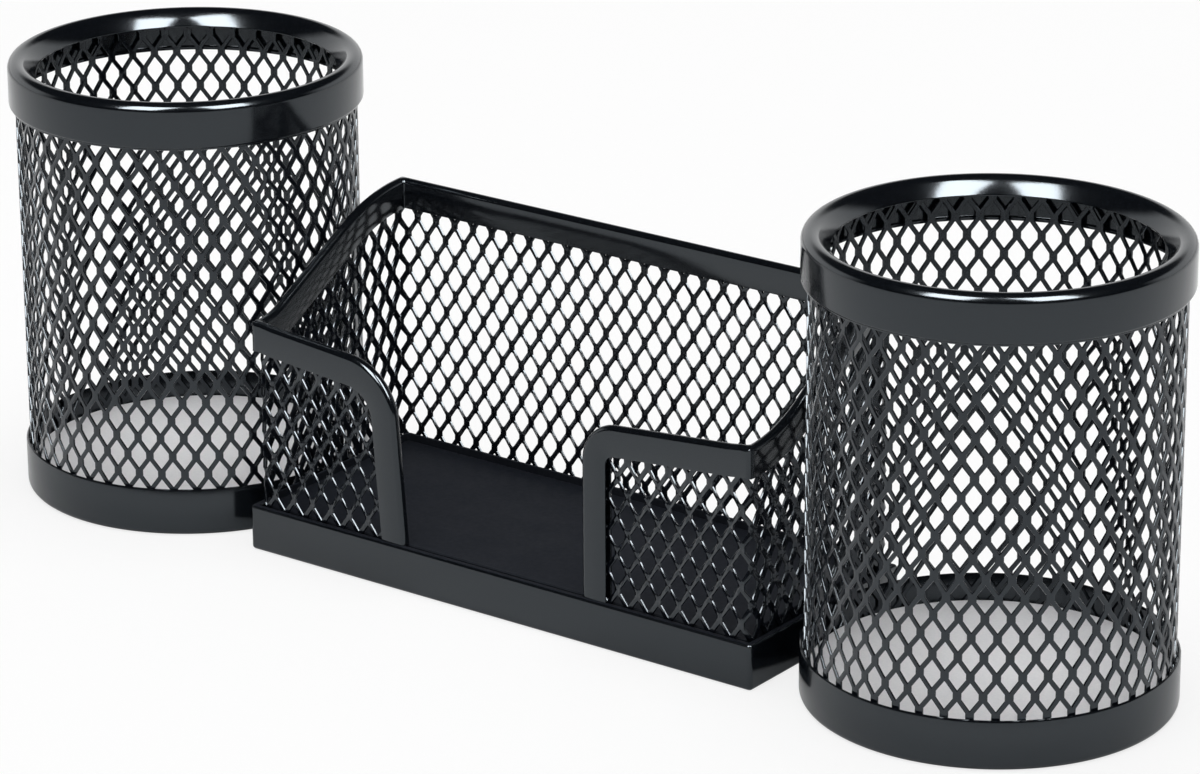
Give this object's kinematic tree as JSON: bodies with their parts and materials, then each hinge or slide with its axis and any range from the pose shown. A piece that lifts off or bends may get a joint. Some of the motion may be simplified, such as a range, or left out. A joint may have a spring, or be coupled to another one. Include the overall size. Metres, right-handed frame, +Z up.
{
  "type": "mesh desk organizer",
  "caption": "Desk organizer of black expanded metal: round pen cups on either side of an open-front tray for cards or note paper, joined in a row.",
  "frame": {"origin": "on the desk, midway between the cups, on the line through their axes", "axes": "+X along the row of cups and tray, +Z up, the tray's open front faces -Y"},
  "size_m": [0.293, 0.079, 0.1],
  "materials": {
    "black_enamel": "gloss black enamel",
    "black_mesh": "satin black powder coat",
    "floor_board": "matte pale grey"
  },
  "bodies": {
    "root": {"left_cup_mesh": "black_mesh", "left_cup_rim": "black_enamel", "left_cup_base_ring": "black_enamel", "left_cup_floor": "floor_board", "left_cup_welds": "black_enamel", "right_cup_mesh": "black_mesh", "right_cup_rim": "black_enamel", "right_cup_base_ring": "black_enamel", "right_cup_floor": "floor_board", "right_cup_welds": "black_enamel", "tray_front_left_mesh": "black_mesh", "tray_front_right_mesh": "black_mesh", "tray_left_mesh": "black_mesh", "tray_right_mesh": "black_mesh", "tray_back_mesh": "black_mesh", "tray_back_rail": "black_enamel", "tray_left_rail": "black_enamel", "tray_right_rail": "black_enamel", "tray_front_left_frame": "black_enamel", "tray_front_right_frame": "black_enamel", "tray_base": "black_enamel", "tray_floor_panel": "black_enamel"}
  },
  "joints": []
}
